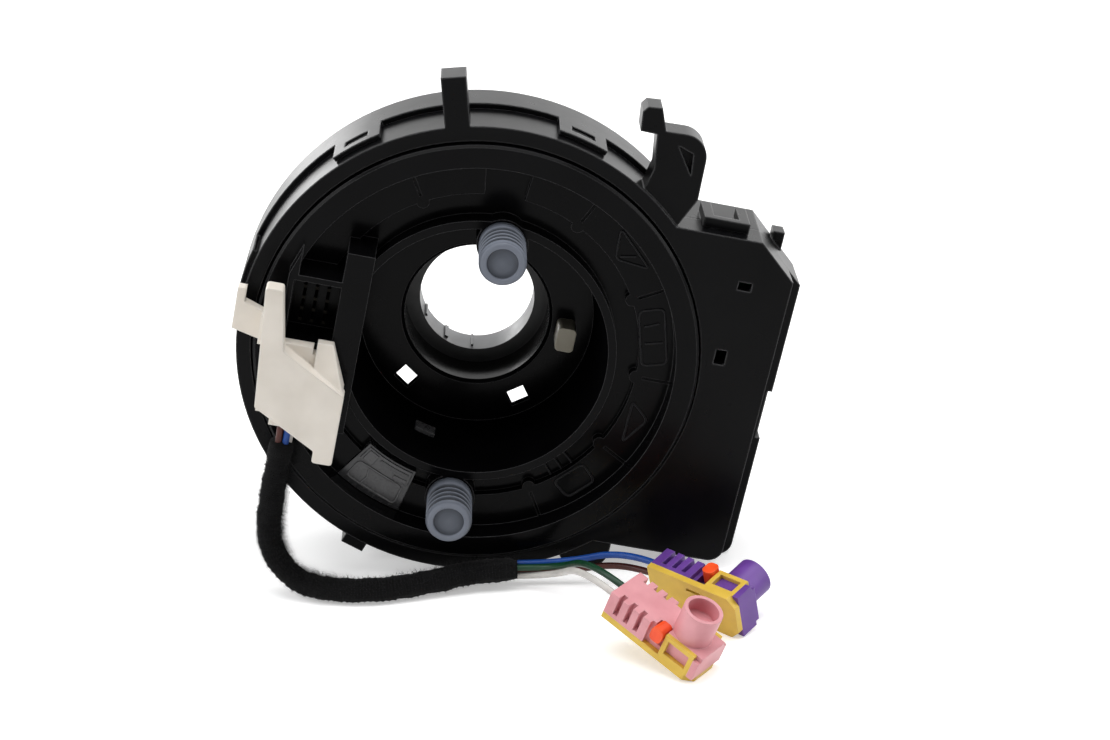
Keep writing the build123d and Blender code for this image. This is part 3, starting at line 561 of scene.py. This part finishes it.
def plugPiece(name, look, y):
    line = plugProfile(look)
    count = look["around"]
    verts, shades = [], []
    for radius, height, shade in line:
        radius = max(radius, look["axisRadius"])
        for k in range(count):
            angle = 2 * math.pi * k / count
            verts.append(at(look["x"] + radius * math.cos(angle), y + radius * math.sin(angle),
                            look["seat"] - height))
            shades.append(shade)
    faces = bandFaces(len(line), count)
    faces.append(tuple(range(count))[::-1])
    faces.append(tuple(range((len(line) - 1) * count, len(line) * count)))
    plug = meshPiece(name + "Rubber", verts, faces, "rotor", finish["plugRubber"], "grey_rubber")
    # each point keeps its painted shade
    tone = plug.data.attributes.new("paintedRibShade", "FLOAT", "POINT")
    for point, shade in zip(tone.data, shades):
        point.value = shade
    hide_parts(name)


for plugName, plugY in plugLook["plugs"].items():
    plugPiece(plugName, plugLook, plugY)
print("plugs turned")

# raised lines and pads: a low trapezoid drawn along a line on one depth, or a plain block of ring sector
ridgeLook = {"foot": 0.5, "crown": 0.25, "sink": 0.1}  # half widths as shares of the width


def ridge(line, width, height, depth, closed=False):
    verts, faces = [], []
    count = len(line)
    foot, crown, sink = ridgeLook["foot"], ridgeLook["crown"], ridgeLook["sink"]
    for i, (x, y) in enumerate(line):
        before = line[(i - 1) % count] if closed or i else line[0]
        after = line[(i + 1) % count] if closed or i < count - 1 else line[-1]
        way = Vector((after[0] - before[0], after[1] - before[1])).normalized()
        out = Vector((-way.y, way.x))
        for side, rise in ((-foot, -sink), (-crown, height), (crown, height), (foot, -sink)):
            verts.append(at(x + out.x * side * width, y + out.y * side * width, depth - rise))
    for i in range(count if closed else count - 1):
        a, b = 4 * i, 4 * ((i + 1) % count)  # four points to a section
        for k in range(3):
            faces.append((a + k, b + k, b + k + 1, a + k + 1))
        faces.append((a + 3, b + 3, b, a))
    if not closed:
        tail = 4 * (count - 1)
        faces += [(0, 1, 2, 3), (tail + 3, tail + 2, tail + 1, tail)]
    return verts, faces


def ringBar(bar):
    return [onPlane(radius, angle) for radius, angle in bar]


def roundedLoop(corners, cut, steps=4):
    # corners are radius and angle on the ring; each is cut back and rounded
    plain = [Vector(point) for point in ringBar(corners)]
    loop = []
    for i, here in enumerate(plain):
        before = here + (plain[i - 1] - here).normalized() * cut
        after = here + (plain[(i + 1) % len(plain)] - here).normalized() * cut
        for step in range(steps + 1):
            t = step / steps
            point = before * (1 - t) ** 2 + here * 2 * t * (1 - t) + after * t ** 2
            loop.append((point.x, point.y))
    return loop


def sectorBlock(inner, outer, start, end, back, front, steps=16):
    verts, faces = [], []
    for i in range(steps + 1):
        angle = start + (end - start) * i / steps
        verts += [onRing(inner, angle, back), onRing(outer, angle, back),
                  onRing(outer, angle, front), onRing(inner, angle, front)]
    for i in range(steps):
        a, b = 4 * i, 4 * (i + 1)  # four points to a section
        for k in range(4):
            n = (k + 1) % 4
            faces.append((a + k, a + n, b + n, b + k))
    tail = 4 * steps
    faces += [(3, 2, 1, 0), (tail, tail + 1, tail + 2, tail + 3)]
    return verts, faces


def joined(parts):
    verts, faces = [], []
    for partVerts, partFaces in parts:
        base = len(verts)
        verts += partVerts
        faces += [tuple(base + v for v in face) for face in partFaces]
    return verts, faces


# window: pane, raised strip with pads along its inner side, and a rounded line with one bar
# a pad is two radii, two angles and its rise
windowLook = {"inner": 38.65, "outer": 50.95, "start": -125.1, "end": -103.5, "back": 9.5, "front": 6.4,
              "strip": (39.2, 43.2), "stripMargin": 1.0, "stripRise": 0.45, "sink": 0.2,
              "pads": [(39.7, 42.9, -123.3, -119.1, 0.8), (40.1, 40.7, -117.6, -105.7, 0.75),
                       (41.8, 42.9, -110.5, -105.3, 0.8)],
              "frame": [(44.2, -123.4), (49.6, -123.0), (49.6, -105.6), (44.2, -105.8)], "frameCut": 1.3,
              "fieldInset": 0.4, "fieldRise": 0.08,
              "bar": [(44.4, -118.8), (46.5, -117.6), (49.4, -118.0)],
              "line": 0.4, "lineRise": 0.25, "lineSeat": 0.06}


def windowPiece(look):
    front, sink, inset, margin = look["front"], look["sink"], look["fieldInset"], look["stripMargin"]
    (inner, left), (outer, _), (_, right), _ = look["frame"]
    pane = [sectorBlock(look["inner"], look["outer"], look["start"], look["end"], look["back"], front)]
    field = [sectorBlock(inner, outer, left + inset, right - inset, front + sink, front - look["fieldRise"]),
             sectorBlock(*look["strip"], look["start"] + margin, look["end"] - margin, front + sink,
                         front - look["stripRise"])]
    field += [sectorBlock(*pad, front, front - rise) for *pad, rise in look["pads"]]
    seat = front - look["lineSeat"]
    loop = roundedLoop(look["frame"], look["frameCut"])
    lines = [ridge(loop, look["line"], look["lineRise"], seat, True),
             ridge(ringBar(look["bar"]), look["line"], look["lineRise"], seat)]
    window = meshPiece("centreWindowPane", *joined(pane + field + lines), "rotor", finish["pane"],
                       "clear_plastic", False)
    paneFaces = len(joined(pane)[1])
    fieldFaces = paneFaces + len(joined(field)[1])
    window.data.materials.append(finish["paneField"])
    window.data.materials.append(finish["paneLitLine"])
    for face in window.data.polygons:
        face.material_index = (face.index >= paneFaces) + (face.index >= fieldFaces)
    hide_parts("centre_window")


windowPiece(windowLook)

# moulded lines on the tray's shelf, as radius and angle, and ticks across its channel
trayLook = {"shelf": 7.0, "channel": 9.5, "width": 0.75, "height": 0.5, "cut": 1.6,
            "loops": [[(43.2, 46.0), (49.4, 53.0), (49.4, 37.5)],
                      [(43.0, 25.0), (49.6, 24.0), (49.6, 6.0), (43.0, 4.6)],
                      [(43.4, -9.0), (49.2, -13.5), (46.6, -24.0)],
                      [(43.2, -51.0), (49.2, -49.6), (49.2, -39.6), (43.2, -38.6)]],
            "bars": [[(43.6, 19.0), (47.6, 19.4)], [(43.6, 12.8), (48.2, 13.0)],
                     [(44.6, 45.8), (48.0, 43.0)]],
            "ticks": [-51.0, -46.5, -42.0], "tickReach": (36.6, 41.8), "tickHeight": 1.2}


def trayLines(look):
    width, height, shelf = look["width"], look["height"], look["shelf"]
    parts = [ridge(roundedLoop(loop, look["cut"]), width, height, shelf, True) for loop in look["loops"]]
    parts += [ridge(ringBar(bar), width, height, shelf) for bar in look["bars"]]
    for angle in look["ticks"]:
        tick = ringBar([(radius, angle) for radius in look["tickReach"]])
        parts.append(ridge(tick, width, look["tickHeight"], look["channel"]))
    # the lines are painted paler: painted highlight
    meshPiece("trayLines", *joined(parts), "rotor", finish["ridgeLitBlack"], "black_satin", False)


trayLines(trayLook)

# a small grey pad on the funnel's wall
padLook = {"inner": 31.5, "outer": 33.0, "start": -110.0, "end": -100.0, "back": 22.2, "front": 17.8}
meshPiece("funnelPad", *sectorBlock(**padLook), "rotor", finish["paneField"], "black_satin", False)

# small ribs on the sleeve's wall, near its rear end: angle and width
sleeveLook = {"wall": 15.75, "rise": 0.7, "ribs": {-113.0: 1.1, -84.5: 0.6, -145.0: 0.8}, "front": 46.0,
              "back": 53.6, "steps": 2}


def sleeveRibs(look):
    wall = look["wall"]
    parts = []
    for angle, width in look["ribs"].items():
        turn = math.degrees(width / 2 / wall)
        parts.append(sectorBlock(wall - look["rise"], wall, angle - turn, angle + turn, look["back"],
                                 look["front"], look["steps"]))
    meshPiece("sleeveRibs", *joined(parts), "rotor", finish["hubSheenGrey"], "black_satin", False)


sleeveRibs(sleeveLook)
print("rotor details set")

# cords
curveLook = {"smooth": 16, "order": 3, "round": 5}


def routeCurve(name, points, radius=0.0):
    data = bpy.data.curves.new(name, "CURVE")
    data.dimensions = "3D"
    data.resolution_u = curveLook["smooth"]
    spline = data.splines.new("NURBS")
    spline.points.add(len(points) - 1)
    for place, point in zip(spline.points, points):
        place.co = (*[c * mm for c in point], 1.0)
    spline.order_u = curveLook["order"]
    spline.use_endpoint_u = True
    data.bevel_depth = radius
    data.bevel_resolution = curveLook["round"]
    data.use_fill_caps = radius > 0
    obj = bpy.data.objects.new(name, data)
    scene.collection.objects.link(obj)
    return obj


def linePoints(points):
    guide = routeCurve("guide", points)
    mesh = bpy.data.meshes.new_from_object(guide)
    found = [v.co.copy() for v in mesh.vertices]
    bpy.data.objects.remove(guide)
    bpy.data.meshes.remove(mesh)
    return found


def frames(path):
    tangents = []
    for i in range(len(path)):
        a = path[max(0, i - 1)]
        b = path[min(len(path) - 1, i + 1)]
        tangents.append((b - a).normalized())
    side = tangents[0].orthogonal().normalized()
    result = []
    for tangent in tangents:
        side = (side - tangent * side.dot(tangent)).normalized()
        result.append((tangent, side, tangent.cross(side)))
    return result


def aboveFloor(point):
    return Vector((point.x, point.y, max(point.z, stageLook["floor"] + stageLook["clear"])))


# taped bundle, a thin core where it is bare; its nap stands longer towards the heart of the bend
tapeLook = {"diameter": 6.2, "length": 105.6, "around": 32, "bare": 5.0, "core": 0.3, "taper": 3.0,
            "endShare": 0.72, "endSwell": 0.28, "wrapPitch": 7.4, "ridge": 0.16, "stepRise": 9.0,
            "ripple": 0.11, "ripplePitch": 1.5, "lump": 0.3, "lumpScale": 420.0, "pimple": 0.1,
            "pimpleScale": 1700.0, "noiseReach": 0.003, "seed": 7, "fibres": 26000,
            "fibreLength": (0.4, 2.0), "fibreWidth": 0.1, "fibreSink": 0.0001, "lean": 0.7,
            "outward": 0.6, "inward": 1.1, "heart": (-22.0, -62.0, -34.0),
            "route": [(-48.95, -59.2, -14.63), (-51.17, -59.2, -25.41), (-53.6, -60.2, -36.4),
                      (-54.9, -60.6, -46.0), (-52.8, -61.6, -53.4), (-47.3, -63.8, -58.4),
                      (-39.2, -66.4, -59.6), (-26.5, -67.2, -59.6), (-12.0, -63.4, -59.2),
                      (1.0, -60.2, -57.6), (10.0, -60.2, -57.6)]}


def tapeRadius(look, along, angle, place):
    # overlapping turns of tape leave a soft spiral step
    turn = (along / look["wrapPitch"] - angle / (2 * math.pi)) % 1.0
    step = look["ridge"] * (1.0 - turn) * min(1.0, turn * look["stepRise"])
    lump = look["lump"] * noise.noise(place * look["lumpScale"])
    lump += look["pimple"] * noise.noise(place * look["pimpleScale"])
    ripple = look["ripple"] * math.sin(2 * math.pi * along / look["ripplePitch"])
    return (look["diameter"] / 2 - look["ridge"] / 2 + step + lump + ripple) * mm


def tapePiece(look):
    path = linePoints(look["route"])
    verts, spots = [], []
    along = 0.0
    whole = sum((b - a).length for a, b in zip(path, path[1:])) / mm
    count = look["around"]
    for i, (here, (tangent, side, lift)) in enumerate(zip(path, frames(path))):
        if i:
            along += (here - path[i - 1]).length / mm
        left = max(0.0, min(1.0, (whole - along) / look["taper"]))
        girth = look["endShare"] + look["endSwell"] * math.sqrt(left)
        for k in range(count):
            angle = 2 * math.pi * k / count
            out = side * math.cos(angle) + lift * math.sin(angle)
            radius = tapeRadius(look, along, angle, here + out * look["noiseReach"]) * girth
            if along < look["bare"]:
                verts.append(here + out * radius * look["core"])
                continue
            verts.append(aboveFloor(here + out * radius))
            spots.append((verts[-1], out, tangent))
    faces = bandFaces(len(path), count)
    first, last = len(verts), len(verts) + 1
    verts += [path[0], path[-1]]
    tail = (len(path) - 1) * count
    for k in range(count):
        faces.append((first, (k + 1) % count, k))
        faces.append((last, tail + k, tail + (k + 1) % count))
    tape = meshPiece("harnessTape", verts, faces, "rotor", finish["fleece"], "fleece_tape")
    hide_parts("harness_tape")
    return tape, path, spots


def tapeFuzz(look, spots):
    dice = random.Random(look["seed"])
    heart = Vector(look["heart"]) * mm
    verts, faces = [], []
    for _ in range(look["fibres"]):
        root, out, tangent = spots[dice.randrange(len(spots))]
        lean = tangent * dice.uniform(-1.0, 1.0) + tangent.cross(out) * dice.uniform(-1.0, 1.0)
        way = (out + lean * look["lean"]).normalized()
        inner = max(0.0, (heart - root).normalized().dot(out))
        reach = look["outward"] + look["inward"] * inner
        tip = root + way * dice.uniform(*look["fibreLength"]) * reach * mm
        across = way.cross(tangent).normalized() * look["fibreWidth"] * mm / 2
        sunk = out * look["fibreSink"]
        base = len(verts)
        verts += [root - across - sunk, root + across - sunk, aboveFloor(tip)]
        faces.append((base, base + 1, base + 2))
    return meshPiece("tapeFuzz", verts, faces, "rotor", finish["fleece"], "fleece_tape", False)


tape, tapePath, tapeSpots = tapePiece(tapeLook)
fuzz = tapeFuzz(tapeLook, tapeSpots)

# the four wires show between the white connector and the tape: slot, and place across and forward
bareLook = {"length": 6.0, "diameter": 1.8, "gather": 0.85, "bow": 0.25,
            "wires": {"wireBrown": ("brown_wire", -1.0, 1.2), "wireBlue": ("blue_wire", 1.0, 1.2),
                      "wireGreen": ("green_wire", -0.9, -1.0), "wireWhite": ("white_wire", 1.9, -0.5)}}


def bareWires(look):
    begin, onward = [Vector(p) for p in tapeLook["route"][:2]]
    down = (onward - begin).normalized()
    front = Vector((0.0, -1.0, 0.0))
    right = front.cross(down).normalized()
    found = []
    for colour, (slot, across, forward) in look["wires"].items():
        offset = right * across + front * forward
        upper = begin + offset
        lower = begin + offset * look["gather"] + down * look["length"]
        middle = (upper + lower) / 2 + front * look["bow"]
        stub = routeCurve(colour + "Bare", [upper, middle, lower], look["diameter"] / 2 * mm)
        stub.data.materials.append(finish[colour])
        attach(stub, "rotor")
        found.append(stub)
    return found


bare = bareWires(bareLook)

# the four wires from the tape's end to the airbag connectors
wireLook = {"diameter": 1.8, "wires": {
    "wire_blue": {"finish": "wireBlue", "slot": "blue_wire", "length": 40.3,
                  "with": ("purple_body", "purple_cover"),
                  "route": [(10.0, -58.9, -56.5), (22.0, -58.9, -56.5), (38.2, -60.35, -52.28),
                            (46.83, -68.68, -52.28)]},
    "wire_brown": {"finish": "wireBrown", "slot": "brown_wire", "length": 40.6,
                   "with": ("purple_body", "purple_cover"),
                   "route": [(10.0, -59.1, -58.9), (22.0, -59.1, -58.9), (38.87, -59.65, -56.16),
                             (47.5, -67.98, -56.16)]},
    "wire_green": {"finish": "wireGreen", "slot": "green_wire", "length": 47.5,
                   "with": ("pink_body", "pink_cover"),
                   "route": [(10.0, -61.5, -56.4), (21.0, -61.5, -56.4), (27.92, -83.7, -42.47),
                             (36.69, -90.55, -46.97)]},
    "wire_white": {"finish": "wireWhite", "slot": "white_wire", "length": 49.4,
                   "with": ("pink_body", "pink_cover"),
                   "route": [(10.0, -61.4, -58.8), (20.0, -61.4, -58.8), (25.53, -86.39, -43.03),
                             (34.3, -93.24, -47.53)]},
}}
for wireName, look in wireLook["wires"].items():
    wire = routeCurve(wireName + "Jacket", look["route"], wireLook["diameter"] / 2 * mm)
    wire.data.materials.append(finish[look["finish"]])
    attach(wire, "rotor")
    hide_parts(wireName)
print("cords laid")

# floor, light and world
floorMat, floorTree, floorShader = newMaterial("paleFloor")
floorGrain = noiseAt(floorTree, objectPlace(floorTree), stageLook["grainScale"])
floorTree.links.new(tint(floorTree, floorGrain, stageLook["deep"], stageLook["pale"], stageLook["stops"]),
                    floorShader.inputs["Base Color"])
floorShader.inputs["Roughness"].default_value = stageLook["rough"]
floorShader.inputs["Specular IOR Level"].default_value = stageLook["shine"]
floorShader.inputs["Emission Color"].default_value = (1.0, 1.0, 1.0, 1.0)
floorLift = spread(floorTree, seenRays(floorTree), 0.0, stageLook["lift"], spans["whole"])
floorTree.links.new(floorLift, floorShader.inputs["Emission Strength"])
half = stageLook["span"] / 2
floorMesh = bpy.data.meshes.new("paleFloor")
floorMesh.from_pydata([(-half, -half, 0), (half, -half, 0), (half, half, 0), (-half, half, 0)], [],
                      [(0, 1, 2, 3)])
floorMesh.materials.append(floorMat)
floor = bpy.data.objects.new("paleFloor", floorMesh)
floor.location.z = stageLook["floor"]
scene.collection.objects.link(floor)

lamps = {
    "topSoft": {"place": (0.0, -0.05, 0.95), "aim": (0.0, -0.03, 0.0), "size": (1.2, 0.8), "power": 10.0},
    "backSoft": {"place": (0.0, 0.85, 0.2), "aim": (0.0, -0.03, 0.0), "size": (2.0, 0.46), "power": 3.4},
    "backLeft": {"place": (-0.5, 0.8, 0.05), "aim": (0.0, -0.03, 0.0), "size": (0.5, 0.35), "power": 1.6},
    "leftSoft": {"place": (-0.95, -0.35, 0.45), "aim": (0.0, -0.03, 0.0), "size": (0.5, 0.8), "power": 5.0},
    "rightSoft": {"place": (0.95, -0.1, 0.5), "aim": (0.03, -0.03, 0.0), "size": (0.4, 0.8), "power": 4.0},
}
for lampName, look in lamps.items():
    data = bpy.data.lights.new(lampName, "AREA")
    data.shape = "RECTANGLE"
    data.size, data.size_y = look["size"]
    data.energy = look["power"]
    lamp = bpy.data.objects.new(lampName, data)
    lamp.location = look["place"]
    way = Vector(look["aim"]) - Vector(look["place"])
    lamp.rotation_euler = way.to_track_quat("-Z", "Y").to_euler()
    lamp.visible_camera = False
    scene.collection.objects.link(lamp)

skyLook = {"light": 0.22, "seen": 1.0}
world = bpy.data.worlds.new("paleRoom")
scene.world = world
world.use_nodes = True
sky = world.node_tree
background = sky.nodes["Background"]
background.inputs["Color"].default_value = (1.0, 1.0, 1.0, 1.0)
skyLevel = spread(sky, seenRays(sky), skyLook["light"], skyLook["seen"], spans["whole"])
sky.links.new(skyLevel, background.inputs["Strength"])
print("floor and light set")
